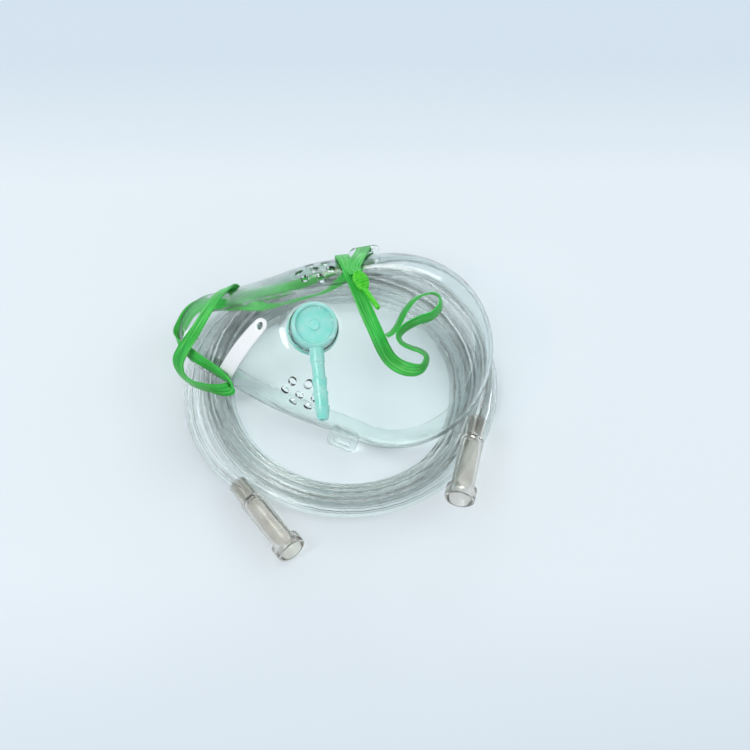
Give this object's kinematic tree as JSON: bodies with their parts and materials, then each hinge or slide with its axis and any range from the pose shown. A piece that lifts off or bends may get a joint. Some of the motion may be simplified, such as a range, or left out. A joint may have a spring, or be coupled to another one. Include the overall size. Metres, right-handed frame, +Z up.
{
  "type": "oxygen face mask",
  "caption": "Clear pear-shaped oxygen face mask with swivel connector, nose clip, elastic head strap and a coil of supply tubing that ends in funnel connectors.",
  "frame": {"origin": "on the surface the mask lies on, under the middle of the mask with its strap and connector", "axes": "+Z up, -X towards the nose end of the mask, -Y towards the side the mask leans to"},
  "size_m": [0.1469, 0.1578, 0.07],
  "materials": {
    "clear_vinyl": "clear soft vinyl with a faint green tint, glossy",
    "aluminium": "bare soft aluminium strip, satin",
    "green_elastic": "flat woven elastic band, matt with a slight sheen",
    "bright_green_plastic": "fluorescent green moulded plastic",
    "turquoise_plastic": "translucent turquoise moulded plastic",
    "clear_tubing": "clear kink-resistant vinyl tubing with star-shaped bore",
    "smoky_vinyl": "smoky translucent soft vinyl"
  },
  "bodies": {
    "mask": {"mask_shell": "clear_vinyl", "nose_clip": "aluminium", "head_strap": "green_elastic", "strap_end_clip": "bright_green_plastic", "tubing_coil": "clear_tubing", "tubing_left_end": "clear_tubing", "tubing_right_end": "clear_tubing", "left_funnel_connector": "smoky_vinyl", "right_funnel_connector": "smoky_vinyl"},
    "connector": {"swivel_connector": "turquoise_plastic"}
  },
  "joints": [
    {"name": "connector_swivel", "type": "hinge", "parent": "mask", "child": "connector", "pos_m": [-0.00715, -0.0074, 0.05865], "axis": [0.0699, -0.3979, 0.9147], "continuous": true}
  ]
}
